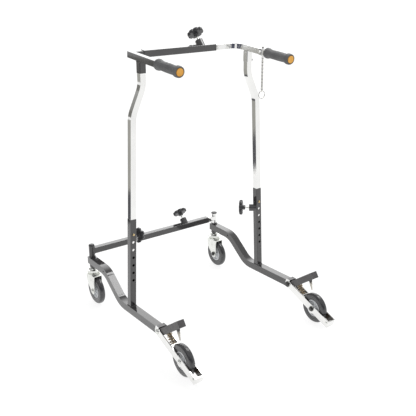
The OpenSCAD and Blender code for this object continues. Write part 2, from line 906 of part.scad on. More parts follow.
module right_pivot_bolt() { color(bright) placed() right() pivot_bolt(); }
module left_caster_stem() { color(zinc) placed() left() caster_stem(); }
module right_caster_stem() { color(zinc) placed() right() caster_stem(); }
module left_brake_spring() { color("tan") placed() left() brake_spring(); }
module right_brake_spring() { color("tan") placed() right() brake_spring(); }
module left_yoke() { color(bright) placed() left() yoke(); }
module right_yoke() { color(bright) placed() right() yoke(); }
module left_yoke_bolts() { color(bright) placed() left() yoke_bolts(); }
module right_yoke_bolts() { color(bright) placed() right() yoke_bolts(); }
module left_rear_tyre() { color(rubber) placed() left() wheel_frame(axle_y, wheel_r) tyre(); }
module right_rear_tyre() { color(rubber) placed() right() wheel_frame(axle_y, wheel_r) tyre(); }
module left_rear_hub() { color("lightgray") placed() left() wheel_frame(axle_y, wheel_r) hub(); }
module right_rear_hub() { color("lightgray") placed() right() wheel_frame(axle_y, wheel_r) hub(); }
module left_caster_fork() { color(bright) placed() left() caster_fork(); }
module right_caster_fork() { color(bright) placed() right() caster_fork(); }
module left_caster_axle() { color(bright) placed() left() caster_axle(); }
module right_caster_axle() { color(bright) placed() right() caster_axle(); }
module left_front_tyre() { color(rubber) placed() left() wheel_frame(front_y - trail, wheel_r) tyre(); }
module right_front_tyre() { color(rubber) placed() right() wheel_frame(front_y - trail, wheel_r) tyre(); }
module left_front_hub() { color("lightgray") placed() left() wheel_frame(front_y - trail, wheel_r) hub(); }
module right_front_hub() { color("lightgray") placed() right() wheel_frame(front_y - trail, wheel_r) hub(); }
module left_inner_upright() { color(bright) placed() left() inner_upright(); }
module right_inner_upright() { color(bright) placed() right() inner_upright(); }
module left_handle_sleeve() { color(black) placed() left() handle_sleeve(); }
module right_handle_sleeve() { color(bright) placed() right() handle_sleeve(); }
module left_handlebar() { color(black) placed() left_bar(); }
module right_handlebar() { color(bright) placed() right_bar(); }
module right_sleeve_bolt() {
    color(bright) placed() translate([handle_x + inner_size / 2 + seat_gap, 0, sleeve_low_z + sleeve_bolt_up])
        across() {
            cylinder(h = sleeve_bolt_out, r = sleeve_bolt_r);
            translate([0, 0, sleeve_bolt_out]) cylinder(h = sleeve_bolt_r, r = 1.5 * sleeve_bolt_r);
        }
}
module top_cross_outer() { color(black) placed() upper_outer(); }
module left_grip() { color(rubber) placed() left() grip(); }
module right_grip() { color(rubber) placed() right() grip(); }
module left_grip_plug() { color("orange") placed() left() grip_plug(); }
module right_grip_plug() { color("orange") placed() right() grip_plug(); }
module left_snap_button() { color("gold") placed() left() snap_button(); }
module right_snap_button() { color("gold") placed() right() snap_button(); }
module chain_clip() { color(bright) placed() clip(); }
module chain_links() { color(bright) placed() links(); }
module split_ring() { color(bright) placed() key_ring(); }

left_base_tube();
left_outer_upright();
left_height_boss();
lower_cross_outer();
left_post_cap();
lower_width_boss();
left_brake_stub();
left_brake_adjuster();
left_pivot_bolt();
left_caster_stem();
left_brake_spring();
right_base_tube();
right_outer_upright();
right_height_boss();
lower_cross_inner();
right_post_cap();
cross_stop_bolt();
right_brake_stub();
right_brake_adjuster();
right_pivot_bolt();
right_caster_stem();
right_brake_spring();
left_yoke();
left_yoke_bolts();
right_yoke();
right_yoke_bolts();
left_rear_tyre();
left_rear_hub();
right_rear_tyre();
right_rear_hub();
left_caster_fork();
left_caster_axle();
left_front_tyre();
left_front_hub();
right_caster_fork();
right_caster_axle();
right_front_tyre();
right_front_hub();
left_inner_upright();
left_handle_sleeve();
left_handlebar();
top_cross_outer();
upper_width_boss();
left_grip();
left_grip_plug();
right_inner_upright();
right_handle_sleeve();
right_handlebar();
right_sleeve_bolt();
right_grip();
right_grip_plug();
left_height_knob();
right_height_knob();
lower_width_knob();
upper_width_knob();
left_snap_button();
right_snap_button();
chain_clip();
chain_links();
split_ring();
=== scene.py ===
"""A four-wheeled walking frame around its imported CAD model. Lengths are metres, in the row frame."""

import json
import math

import bmesh
import bpy
from mathutils import Matrix, Vector


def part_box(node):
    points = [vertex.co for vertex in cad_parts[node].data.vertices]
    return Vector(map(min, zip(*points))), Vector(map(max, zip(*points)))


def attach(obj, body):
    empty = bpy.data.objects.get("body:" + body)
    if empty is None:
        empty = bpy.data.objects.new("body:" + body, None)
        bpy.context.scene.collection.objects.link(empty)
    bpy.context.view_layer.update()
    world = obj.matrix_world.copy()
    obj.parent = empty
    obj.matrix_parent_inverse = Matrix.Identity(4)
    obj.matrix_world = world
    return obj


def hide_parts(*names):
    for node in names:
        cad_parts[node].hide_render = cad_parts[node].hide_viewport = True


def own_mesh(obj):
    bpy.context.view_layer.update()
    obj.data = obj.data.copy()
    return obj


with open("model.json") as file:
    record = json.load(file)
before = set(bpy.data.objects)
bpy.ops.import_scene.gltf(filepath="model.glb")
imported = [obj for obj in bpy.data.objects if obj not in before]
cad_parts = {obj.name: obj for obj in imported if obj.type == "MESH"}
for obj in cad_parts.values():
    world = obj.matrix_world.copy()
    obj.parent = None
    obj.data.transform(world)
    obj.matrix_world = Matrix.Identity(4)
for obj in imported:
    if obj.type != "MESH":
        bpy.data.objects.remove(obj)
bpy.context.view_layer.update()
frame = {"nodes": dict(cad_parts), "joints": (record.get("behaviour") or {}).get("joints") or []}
joints = {j["name"]: j for j in frame["joints"]}
SIDES = (("left", -1), ("right", 1))
MM = 0.001


def joint_at(name):
    return Vector(joints[name]["pos_m"])


def joint_axis(name):
    return Vector(joints[name]["axis"]).normalized()


def centre(node):
    low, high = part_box(node)
    return (low + high) / 2


# ---------------------------------------------------------------- camera, light and floor

CAMERA_AT = Vector((-1.4429, -2.0291, 1.4014))
CAMERA_YAW = math.radians(35.953)
CAMERA_PITCH = math.radians(-20.567)
CAMERA_ROLL = math.radians(-0.126)
CAMERA_LENS = 57.55
FLOOR_SIZE = 60.0
FLOOR_GLOW = 0.86
CARD_Z = 0.002
SKY_POWER = 0.62
WHITE = (1, 1, 1, 1)
SKY_GREY = (0.34, 0.335, 0.31, 1)
SKY_BRIGHT = (3.4, 3.4, 3.4, 1)
CARD_BLACK = (0.045, 0.045, 0.055, 1)
CARD_GREY = (0.33, 0.325, 0.30, 1)
CARD_DARK_NAVY = (0.02, 0.022, 0.036, 1)
CARD_NAVY = (0.045, 0.05, 0.085, 1)


def make_camera():
    data = bpy.data.cameras.new("camera")
    data.lens = CAMERA_LENS
    camera = bpy.data.objects.new("camera", data)
    bpy.context.scene.collection.objects.link(camera)
    turn = Matrix.Rotation(-CAMERA_YAW, 4, "Z")
    tilt = Matrix.Rotation(math.pi / 2 + CAMERA_PITCH, 4, "X")
    roll = Matrix.Rotation(CAMERA_ROLL, 4, "Z")
    camera.matrix_world = Matrix.Translation(CAMERA_AT) @ turn @ tilt @ roll
    bpy.context.scene.camera = camera


def area_light(name, at, towards, size, power):
    data = bpy.data.lights.new(name, "AREA")
    data.shape = "DISK"
    data.size = size
    data.energy = power
    light = bpy.data.objects.new(name, data)
    bpy.context.scene.collection.objects.link(light)
    light.location = at
    light.visible_camera = False
    light.rotation_euler = (Vector(towards) - Vector(at)).to_track_quat("-Z", "Y").to_euler()


def sky():
    """A white studio, with a greyer wall low down at the back left and a bright one at the back right."""
    world = bpy.data.worlds.new("studio")
    world.use_nodes = True
    bpy.context.scene.world = world
    net = Net(world.node_tree)
    way = net.split(net.add("ShaderNodeTexCoord").outputs["Generated"])
    low = net.span(way["Z"], 0.3, 0.2)
    back = net.span(way["Y"], 0.2, 0.5)
    left = net.span(way["X"], 0.35, -0.1)
    greyer = net.maths("MULTIPLY", net.maths("MULTIPLY", low, back), left)
    tone = net.blend(greyer, WHITE, SKY_GREY)
    far_back = net.span(way["Y"], 0.3, 0.6)
    right = net.span(way["X"], 0.0, 0.3)
    tone = net.blend(net.maths("MULTIPLY", far_back, right), tone, SKY_BRIGHT)
    background = net.tree.nodes["Background"]
    background.inputs["Strength"].default_value = SKY_POWER
    net.link(tone, background.inputs["Color"])


def sheet(name, corners):
    """One flat face of the studio, through four corners."""
    mesh = bpy.data.meshes.new(name)
    mesh.from_pydata(corners, [], [(0, 1, 2, 3)])
    obj = bpy.data.objects.new(name, mesh)
    bpy.context.scene.collection.objects.link(obj)
    return obj


def level_card(low, high, z):
    """The corners of a card that lies at height z, between two corners of its plan."""
    return [(low[0], low[1], z), (high[0], low[1], z), (high[0], high[1], z), (low[0], high[1], z)]


def upright_card(first, second, low, high):
    """The corners of a card that stands between two points of its plan, from height low to high."""
    return [(*first, low), (*second, low), (*second, high), (*first, high)]


def make_floor():
    floor = sheet("floor", level_card((-FLOOR_SIZE, -FLOOR_SIZE), (FLOOR_SIZE, FLOOR_SIZE), 0))
    net = new_material("floor_white")
    dust = net.noise(3.0, 3)
    net.put("Base Color", net.blend(dust, (0.19, 0.19, 0.19, 1), (0.22, 0.22, 0.22, 1)))
    net.shader.inputs["Roughness"].default_value = 0.9
    net.shader.inputs["Emission Color"].default_value = WHITE
    net.shader.inputs["Emission Strength"].default_value = FLOOR_GLOW
    floor.data.materials.append(net.material)


def reflector(name, corners, colour):
    """A card that only polished surfaces see."""
    card = sheet(name, corners)
    card.visible_camera = False
    card.visible_diffuse = False
    card.visible_shadow = False
    card.visible_transmission = False
    net = new_material(name)
    net.shader.inputs["Base Color"].default_value = (0, 0, 0, 1)
    net.shader.inputs["Emission Color"].default_value = colour
    net.shader.inputs["Emission Strength"].default_value = 1.0
    card.data.materials.append(net.material)


def make_studio():
    make_camera()
    sky()
    make_floor()
    reflector("dark_card", level_card((-4.0, 1.2), (-0.6, 1.78), CARD_Z), CARD_BLACK)
    reflector("grey_card", level_card((-8.0, 1.78), (3.0, 7.0), CARD_Z), CARD_GREY)
    reflector("upright_card", upright_card((-2.9, -1.7), (-1.3, -3.0), 0.5, 2.3), CARD_DARK_NAVY)
    reflector("bend_card_near", upright_card((-1.3, -2.55), (1.0, -2.74), 0.1, 1.5), CARD_NAVY)
    reflector("bend_card_far", upright_card((-2.55, 0.85), (-2.4, -1.6), 0.1, 1.5), CARD_NAVY)
    area_light("key", (-2.6, -1.8, 2.6), (0, 0, 0.5), 2.0, 6)
    area_light("softbox", (1.0, -0.1, 2.6), (0, 0, 0), 1.35, 27)
    bpy.context.scene.view_settings.view_transform = "Standard"


# ---------------------------------------------------------------- materials

# Where a Mix node keeps the two colours and the result of its RGBA mode.
MIX_FIRST = 6
MIX_SECOND = 7
MIX_RESULT = 2


class Net:
    """A node tree and the few kinds of node that these materials use."""

    def __init__(self, tree, material=None):
        self.tree = tree
        self.material = material
        self.shader = tree.nodes.get("Principled BSDF")

    def link(self, out, into):
        self.tree.links.new(out, into)

    def feed(self, into, value):
        """Gives a socket a value, which is a number, a colour or another node's output."""
        if isinstance(value, bpy.types.NodeSocket):
            self.link(value, into)
        else:
            into.default_value = value

    def add(self, kind, **inputs):
        node = self.tree.nodes.new(kind)
        for name, value in inputs.items():
            self.feed(node.inputs[name], value)
        return node

    def put(self, name, out):
        self.link(out, self.shader.inputs[name])

    def found_in(self, name):
        """The output that the shader's socket is linked from."""
        return self.shader.inputs[name].links[0].from_socket

    def maths(self, operation, a, b=0):
        node = self.add("ShaderNodeMath")
        node.operation = operation
        self.feed(node.inputs[0], a)
        self.feed(node.inputs[1], b)
        return node.outputs[0]

    def span(self, value, start, end, low=0.0, high=1.0):
        node = self.add("ShaderNodeMapRange", Value=value)
        node.inputs["From Min"].default_value = start
        node.inputs["From Max"].default_value = end
        node.inputs["To Min"].default_value = low
        node.inputs["To Max"].default_value = high
        return node.outputs[0]

    def blend(self, share, first, second):
        node = self.tree.nodes.new("ShaderNodeMix")
        node.data_type = "RGBA"
        self.link(share, node.inputs["Factor"])
        self.feed(node.inputs[MIX_FIRST], first)
        self.feed(node.inputs[MIX_SECOND], second)
        return node.outputs[MIX_RESULT]

    def point(self):
        return self.add("ShaderNodeTexCoord").outputs["Object"]

    def split(self, vector):
        return self.add("ShaderNodeSeparateXYZ", Vector=vector).outputs

    def place(self, stretch=(1, 1, 1)):
        return self.add("ShaderNodeMapping", Vector=self.point(), Scale=stretch).outputs[0]

    def noise(self, scale, detail=2, stretch=(1, 1, 1)):
        node = self.add("ShaderNodeTexNoise", Vector=self.place(stretch), Scale=scale, Detail=detail)
        return node.outputs["Fac"]

    def cells(self, scale):
        return self.add("ShaderNodeTexVoronoi", Vector=self.place(), Scale=scale).outputs["Distance"]

    def bump(self, height, depth):
        node = self.add("ShaderNodeBump", Height=height, Distance=depth, Strength=1.0)
        self.put("Normal", node.outputs["Normal"])


LOOK = "_look"
COAT_ROUGHNESS = 0.06


def new_material(name):
    material = bpy.data.materials.new(name + LOOK)
    material.use_nodes = True
    return Net(material.node_tree, material)


def finish_of(name, first, second, patch, rough, metallic=0.0, coat=0.0, level=0.5):
    """Two tones in soft patches, and a roughness that drifts between the two numbers in rough."""
    net = new_material(name)
    patches = net.span(net.noise(patch, 4), 0.35, 0.65)
    net.put("Base Color", net.blend(patches, first + (1,), second + (1,)))
    net.put("Roughness", net.span(net.noise(patch * 2.3, 3), 0.3, 0.7, *rough))
    net.shader.inputs["Metallic"].default_value = metallic
    net.shader.inputs["Coat Weight"].default_value = coat
    net.shader.inputs["Coat Roughness"].default_value = COAT_ROUGHNESS
    net.shader.inputs["Specular IOR Level"].default_value = level
    return net


def black_paint():
    net = finish_of("black_tube", (0.034, 0.033, 0.034), (0.042, 0.040, 0.041), 14, (0.08, 0.13),
                    coat=0.75, level=0.45)
    net.bump(net.noise(150, 2), 0.00002)
    return net.material


def chrome():
    net = finish_of("chrome", (0.80, 0.80, 0.79), (0.86, 0.86, 0.845), 9, (0.05, 0.12), metallic=1.0)
    net.bump(net.noise(300, 3, (8, 8, 0.35)), 0.00002)
    return net.material


def zinc():
    net = finish_of("zinc", (0.70, 0.71, 0.68), (0.84, 0.85, 0.82), 40, (0.2, 0.3), metallic=1.0)
    net.bump(net.noise(400, 3), 0.00002)
    return net.material


# Each pair is where one look ends and the next begins, in metres from the yoke's middle or its hinge.
YOKE_ARM_INSIDE = (0.0165, 0.0160)
YOKE_BRIDGE_SIDE = (0.0182, 0.0176)
YOKE_BRIDGE_BACK = (-0.0165, -0.0155)


def yoke_plate(side):
    """Bright plate, with painted shade on the arms' inner faces, and the plate over the hinge painted black.
    """
    net = finish_of(f"{side}_yoke", (0.80, 0.80, 0.79), (0.88, 0.88, 0.865), 12, (0.08, 0.16), metallic=1.0)
    pivot = joint_at(f"{side}_brake_pivot")
    point = net.split(net.point())
    facing = net.split(net.add("ShaderNodeNewGeometry").outputs["Normal"])
    across = net.maths("ABSOLUTE", net.maths("SUBTRACT", point["X"], pivot.x))
    sideways = net.span(net.maths("ABSOLUTE", facing["X"]), 0.6, 0.8)
    inner = net.maths("MULTIPLY", net.span(across, *YOKE_ARM_INSIDE), sideways)
    forward = net.span(point["Y"], *(pivot.y + back for back in YOKE_BRIDGE_BACK))
    bridge = net.maths("MULTIPLY", net.span(across, *YOKE_BRIDGE_SIDE), forward)
    # Painted shade: the arms' inner faces get a dark brown colour and lose their metal, standing in for the
    # shade and dark reflections there.
    painted_inner_shade = net.blend(net.noise(60, 3), (0.030, 0.023, 0.017, 1), (0.075, 0.058, 0.042, 1))
    shaded = net.blend(inner, net.found_in("Base Color"), painted_inner_shade)
    net.put("Base Color", net.blend(bridge, shaded, (0.11, 0.108, 0.11, 1)))
    net.put("Metallic", net.maths("SUBTRACT", 1.0, net.maths("MAXIMUM", inner, bridge)))
    net.bump(net.noise(260, 3), 0.00002)
    return net.material


def chain_steel():
    """Bright steel with painted shade on every other link, and painted bands of shade on the ring."""
    net = finish_of("chain", (0.56, 0.54, 0.48), (0.76, 0.74, 0.67), 120, (0.16, 0.3), metallic=1.0)
    # Painted shade: a sine along Z darkens every other link, and bands of the ring, standing in for how light
    # falls on links turned a quarter.
    turn = net.maths("SINE", net.maths("MULTIPLY", net.split(net.point())["Z"], math.pi / (LINK_PITCH * MM)))
    tone = net.blend(net.span(turn, -0.3, 0.3), net.found_in("Base Color"), (0.06, 0.055, 0.045, 1))
    net.put("Base Color", tone)
    net.bump(net.noise(900, 2), 0.00003)
    return net.material


def arm_paint():
    net = finish_of("brake_arm", (0.070, 0.067, 0.069), (0.088, 0.084, 0.086), 40, (0.4, 0.55), coat=0.15)
    net.bump(net.cells(900), 0.00008)
    return net.material


def black_oxide():
    net = finish_of("black_oxide", (0.018, 0.018, 0.019), (0.04, 0.038, 0.036), 120, (0.28, 0.45), level=0.8)
    net.bump(net.noise(900, 2), 0.00004)
    return net.material


def stud_steel():
    net = finish_of("stud", (0.34, 0.32, 0.28), (0.60, 0.57, 0.51), 160, (0.22, 0.4), metallic=1.0)
    net.bump(net.noise(900, 2), 0.00004)
    return net.material


def tyre_rubber():
    net = finish_of("tyre", (0.026, 0.026, 0.029), (0.040, 0.040, 0.043), 45, (0.24, 0.36), level=0.6,
                    coat=0.5)
    net.bump(net.noise(800, 3), 0.00008)
    return net.material


def hub_plastic():
    net = finish_of("hub", (0.60, 0.62, 0.64), (0.72, 0.73, 0.74), 50, (0.32, 0.48))
    net.bump(net.noise(500, 3), 0.00006)
    return net.material


def spring_steel():
    net = finish_of("spring", (0.34, 0.26, 0.16), (0.66, 0.55, 0.39), 90, (0.26, 0.45), metallic=1.0)
    net.bump(net.noise(1000, 2), 0.00004)
    return net.material


def grip_foam():
    net = finish_of("grip", (0.105, 0.105, 0.108), (0.130, 0.130, 0.133), 30, (0.5, 0.7), level=0.5)
    net.bump(net.cells(1100), 0.00022)
    return net.material


def plug_plastic():
    net = finish_of("grip_plug", (0.74, 0.35, 0.045), (0.84, 0.43, 0.075), 70, (0.42, 0.55))
    net.bump(net.noise(900, 3), 0.00006)
    return net.material


def knob_plastic():
    net = finish_of("knob", (0.018, 0.018, 0.020), (0.034, 0.034, 0.037), 50, (0.28, 0.42), level=0.7)
    net.bump(net.cells(1300), 0.00006)
    return net.material


def cap_plastic():
    net = finish_of("cap", (0.022, 0.022, 0.024), (0.036, 0.036, 0.038), 60, (0.22, 0.38), level=0.6)
    net.bump(net.noise(1000, 2), 0.00004)
    return net.material


def brass():
    net = finish_of("brass", (0.62, 0.46, 0.22), (0.78, 0.62, 0.34), 110, (0.2, 0.34), metallic=1.0)
    net.bump(net.noise(1200, 2), 0.00003)
    return net.material


def weld_paint():
    net = finish_of("weld", (0.046, 0.044, 0.045), (0.075, 0.072, 0.07), 90, (0.25, 0.4), coat=0.5)
    net.bump(net.noise(600, 3), 0.00012)
    return net.material


# ---------------------------------------------------------------- mesh helpers

def turned_to(at, axis, across=None):
    """A matrix that stands local Z along axis at a point, with local X as near across as it can be."""
    z = Vector(axis).normalized()
    x = Vector(across) if across else Vector((0, 0, 1)).cross(z)
    if x.length < 1e-6:
        x = Vector((1, 0, 0))
    x = (x - z * x.dot(z)).normalized()
    y = z.cross(x)
    turn = Matrix((x, y, z)).transposed().to_4x4()
    return Matrix.Translation(Vector(at)) @ turn


def add_piece(name, bm, material, body, crease=35):
    """A mesh becomes a piece of the object. Edges sharper than crease degrees are shaded sharp."""
    bmesh.ops.recalc_face_normals(bm, faces=bm.faces)
    mesh = bpy.data.meshes.new(name)
    bm.to_mesh(mesh)
    bm.free()
    mesh.polygons.foreach_set("use_smooth", [True] * len(mesh.polygons))
    mesh.set_sharp_from_angle(angle=math.radians(crease))
    mesh.materials.append(material)
    obj = bpy.data.objects.new(name, mesh)
    bpy.context.scene.collection.objects.link(obj)
    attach(obj, body)
    return obj


def skin_rings(bm, rings, closed):
    """Faces between neighbouring rings of vertices. An open run of rings is capped at both ends."""
    count = len(rings)
    for i in range(count if closed else count - 1):
        a, b = rings[i], rings[(i + 1) % count]
        if len(a) == 1 or len(b) == 1:
            tip, ring = (a[0], b) if len(a) == 1 else (b[0], a)
            for j in range(len(ring)):
                bm.faces.new((tip, ring[j], ring[(j + 1) % len(ring)]))
            continue
        for j in range(len(a)):
            k = (j + 1) % len(a)
            bm.faces.new((a[j], a[k], b[k], b[j]))
    if not closed:
        for ring in (rings[0], rings[-1]):
            if len(ring) > 2:
                bm.faces.new(ring)


def lathe_into(bm, profile, place, steps=48, closed=False, wave=None):
    """Turns (radius, height) points round local Z. wave(angle, radius, height) scales a radius."""
    rings = []
    for r, h in profile:
        if r <= 0:
            rings.append([bm.verts.new(place @ Vector((0, 0, h)))])
            continue
        ring = []
        for i in range(steps):
            a = 2 * math.pi * i / steps
            out = r * (wave(a, r, h) if wave else 1)
            ring.append(bm.verts.new(place @ Vector((out * math.cos(a), out * math.sin(a), h))))
        rings.append(ring)
    skin_rings(bm, rings, closed)


def sweep_into(bm, points, radius, sides=10, closed=False):
    """A round bar along points. radius is a number, or a function of the share of the way along."""
    count = len(points)
    size = radius if callable(radius) else (lambda share: radius)
    ways = []
    for i in range(count):
        before = points[i - 1] if (i or closed) else points[i]
        after = points[(i + 1) % count] if (i + 1 < count or closed) else points[i]
        ways.append((after - before).normalized())
    side = ways[0].orthogonal().normalized()
    turns = [2 * math.pi * k / sides for k in range(sides)]
    rings = []
    for i in range(count):
        side = (side - ways[i] * side.dot(ways[i])).normalized()
        up = ways[i].cross(side)
        r = size(i / count)
        rings.append([bm.verts.new(points[i] + r * (math.cos(a) * side + math.sin(a) * up)) for a in turns])
    skin_rings(bm, rings, closed)


def arc(centre_r, centre_h, r, start, end, steps=6):
    """Profile points round part of a circle, with angles in degrees from the radial direction."""
    turns = [math.radians(start + (end - start) * i / steps) for i in range(steps + 1)]
    return [(centre_r + r * math.cos(t), centre_h + r * math.sin(t)) for t in turns]


def in_mm(profile):
    """A profile given in millimetres, as metres."""
    return [(r * MM, h * MM) for r, h in profile]


# ---------------------------------------------------------------- CAD nodes that keep their shape

EDGE_ANGLE = math.radians(35)
FLAT_ANGLE = math.radians(0.4)


def dress(node, material, edge=0.7):
    """A CAD node keeps its shape. It gets its material, and edge is how far its edges are rounded, in mm."""
    obj = frame["nodes"][node]
    obj.data.materials.clear()
    obj.data.materials.append(material)
    obj.data.polygons.foreach_set("use_smooth", [True] * len(obj.data.polygons))
    weld = obj.modifiers.new("weld", "WELD")
    weld.merge_threshold = 0.01 * MM
    flatten = obj.modifiers.new("flat", "DECIMATE")
    flatten.decimate_type = "DISSOLVE"
    flatten.angle_limit = FLAT_ANGLE
    bevel = obj.modifiers.new("bevel", "BEVEL")
    bevel.width = edge * MM
    bevel.segments = 2
    bevel.limit_method = "ANGLE"
    bevel.angle_limit = EDGE_ANGLE
    normals = obj.modifiers.new("normals", "WEIGHTED_NORMAL")
    normals.keep_sharp = False


def dress_nodes(looks):
    for side in ("left", "right"):
        for part, edge in (("base_tube", 2.0), ("outer_upright", 1.2), ("height_boss", 0.8)):
            dress(f"{side}_{part}", looks["black_tube"], edge)
        dress(f"{side}_brake_stub", looks["brake_arm"], 0.8)
        dress(f"{side}_inner_upright", looks["chrome"], 1.6)
        dress(f"{side}_yoke", looks[f"{side}_yoke"], 0.6)
        dress(f"{side}_caster_stem", looks["zinc"], 0.8)
        dress(f"{side}_caster_fork", looks["zinc"], 0.8)
    for node, edge in (("left_handle_sleeve", 0.6), ("left_handlebar", 1.6), ("lower_cross_outer", 0.6),
                       ("top_cross_outer", 0.6), ("lower_width_boss", 0.8), ("upper_width_boss", 0.8)):
        dress(node, looks["black_tube"], edge)
    for node in ("lower_cross_inner", "right_handle_sleeve", "right_handlebar"):
        dress(node, looks["chrome"], 0.5)
    dress("cross_stop_bolt", looks["cap"], 0.6)


# ---------------------------------------------------------------- wheels

# The profiles from here on are in millimetres, and so are the sizes named beside them.
WHEEL_R = 62.5
TYRE_HALF = 12.5
RIM_R = 35.5
HUB_HALF = 15
SPOKES = 6
SPOKE_START = 12


def tyre_profile():
    """Half of the section has two moulded grooves in its side wall, a round shoulder and a flat tread."""
    half = [(RIM_R, 11.4), (RIM_R + 1.2, 12.3), (41.6, TYRE_HALF), (42.2, 11.9), (43.4, 11.9),
            (44.0, TYRE_HALF), (49.8, TYRE_HALF), (50.3, 12.1), (51.3, 12.1), (51.8, TYRE_HALF)]
    shoulder = arc(WHEEL_R - 10.2, 2.5, 10, 84, 8, 9)
    tread = [(WHEEL_R - 0.25, 1.2), (WHEEL_R - 0.15, 0.6), (WHEEL_R, 0.35)]
    one = half + shoulder + tread
    return in_mm(one + [(r, -h) for r, h in reversed(one)])


def hub_profile():
    """Half of the section is a thick middle, a thin web and a rim for the tyre."""
    half = [(4.2, HUB_HALF), (10.2, HUB_HALF), (11, HUB_HALF - 0.8), (13, 6.4), (14.5, 5.4), (27.4, 4.6),
            (29, 5.2), (30.6, 10), (31.6, 10.9), (RIM_R - 0.6, 10.9), (RIM_R + 0.2, 10.4)]
    return in_mm(half + [(r, -h) for r, h in reversed(half)])


def rib_into(bm, place, angle):
    """One spoke rib on both faces of the wheel's web."""
    turn = place @ Matrix.Rotation(angle, 4, "Z")
    for side in (-1, 1):
        rings = []
        for r, wide, high in ((11.5, 2.0, 9.5), (20, 1.7, 7.2), (30.4, 1.5, 8.4)):
            section = ((-wide, 3.5), (wide, 3.5), (wide * 0.7, high), (-wide * 0.7, high))
            rings.append([bm.verts.new(turn @ Vector((r * MM, w * MM, side * h * MM))) for w, h in section])
        skin_rings(bm, rings, False)


def make_wheel(name, joint, body, looks):
    place = turned_to(joint_at(joint), (1, 0, 0), (0, 0, 1))
    bm = bmesh.new()
    lathe_into(bm, tyre_profile(), place, 96, closed=True)
    tyre = add_piece(f"{name}_tyre_moulded", bm, looks["tyre"], body, 50)
    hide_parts(f"{name}_tyre")
    bm = bmesh.new()
    lathe_into(bm, hub_profile(), place, 72, closed=True)
    for i in range(SPOKES):
        rib_into(bm, place, math.radians(360 / SPOKES * i + SPOKE_START))
    hub = add_piece(f"{name}_hub_moulded", bm, looks["hub"], body)
    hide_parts(f"{name}_hub")
    bm = bmesh.new()
    for side in (-1, 1):
        ring = in_mm([(4.3, side * 14.6), (4.3, side * 15.35), (5.4, side * 15.5), (8.6, side * 15.5),
                      (9.2, side * 15.2), (9.2, side * 14.6)])
        lathe_into(bm, ring, place, 40, closed=True)
    add_piece(f"{name}_bearing_faces", bm, looks["zinc"], body)


# ---------------------------------------------------------------- bolts

def domed_head(r, t):
    return in_mm([(0, t), (r * 0.35, t * 0.96), (r * 0.7, t * 0.8), (r * 0.9, t * 0.52), (r, t * 0.2), (r, 0),
                  (0, 0)])


def hex_into(bm, place, r, t, bore):
    """A nut with a chamfered top, a raised collar and the bolt's end showing in it."""
    corners = [0.93, 1.0, 1.0, 0.93]
    heights = [0, t * 0.08, t * 0.84, t]
    lathe_into(bm, [(r * s * MM, h * MM) for s, h in zip(corners, heights)], place, 6)
    collar = [(r * 0.72, t), (r * 0.72, t + 1.0), (r * 0.6, t + 1.6), (bore + 0.2, t + 1.6), (bore + 0.2, t)]
    lathe_into(bm, in_mm(collar), place, 32, closed=True)
    bolt_end = [(0, t - 1), (bore, t - 1), (bore, t + 2.0), (bore - 0.6, t + 2.6), (0, t + 2.6)]
    lathe_into(bm, in_mm(bolt_end), place, 24)


def cross_bolt(name, at, side, size, body, looks):
    """A bolt across a wheel or hinge: its domed head outboard and its black nut inboard."""
    half, r, head_r, nut_r = size
    out = Vector((side, 0, 0))
    bm = bmesh.new()
    lathe_into(bm, in_mm([(0, -half + 0.5), (r, -half + 0.5), (r, half - 0.5), (0, half - 0.5)]),
               turned_to(at, out), 32)
    for way, wide in ((1, head_r + 2), (-1, nut_r + 1.5)):
        washer = [(r + 0.3, 0), (wide, 0), (wide, 0.9), (wide - 0.4, 1.2), (r + 0.3, 1.2)]
        lathe_into(bm, in_mm(washer), turned_to(at + way * half * MM * out, way * out), 40, closed=True)
    seat = (half + 1.1) * MM * out
    lathe_into(bm, domed_head(head_r, 5), turned_to(at + seat, out), 40)
    bolt = add_piece(f"{name}_with_head", bm, looks["zinc"], body)
    bm = bmesh.new()
    hex_into(bm, turned_to(at - seat, -out), nut_r, 5.4, r * 0.8)
    add_piece(f"{name}_nut", bm, looks["black_oxide"], body, 25)
    return bolt


ARM_OUT = 18.6
FORK_OUT = 20
# Each bolt's half length, and the radii of its shank, its head and its nut.
HINGE_BOLT = (ARM_OUT, 5, 8.6, 12)
REAR_AXLE = (ARM_OUT, 4, 7.4, 10.5)
FRONT_AXLE = (FORK_OUT, 4, 7, 9.5)
TIE_REACH = 244
TIE_RISE = 4
TIE_R = 3


def make_bolts(side, sign, looks):
    pivot = joint_at(f"{side}_brake_pivot")
    axle = joint_at(f"{side}_rear_spin")
    caster = joint_at(f"{side}_front_spin")
    hinge = cross_bolt(f"{side}_hinge_bolt", pivot, sign, HINGE_BOLT, f"{side}_side", looks)
    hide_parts(f"{side}_pivot_bolt")
    cross_bolt(f"{side}_rear_axle", axle, sign, REAR_AXLE, f"{side}_yoke", looks)
    front = cross_bolt(f"{side}_front_axle", caster, sign, FRONT_AXLE, f"{side}_caster", looks)
    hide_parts(f"{side}_caster_axle")
    along = (axle - pivot).normalized()
    up = Vector((1, 0, 0)).cross(-along)
    tie = pivot + along * TIE_REACH * MM + up * TIE_RISE * MM
    bm = bmesh.new()
    lathe_into(bm, in_mm([(0, -ARM_OUT), (TIE_R, -ARM_OUT), (TIE_R, ARM_OUT), (0, ARM_OUT)]),
               turned_to(tie, (1, 0, 0)), 24)
    for way in (1, -1):
        end = tie + Vector((way * ARM_OUT * MM, 0, 0))
        lathe_into(bm, domed_head(5, 2.6), turned_to(end, (way, 0, 0)), 32)
    rivet = add_piece(f"{side}_tie_rivet", bm, looks["zinc"], f"{side}_yoke")
    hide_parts(f"{side}_yoke_bolts")


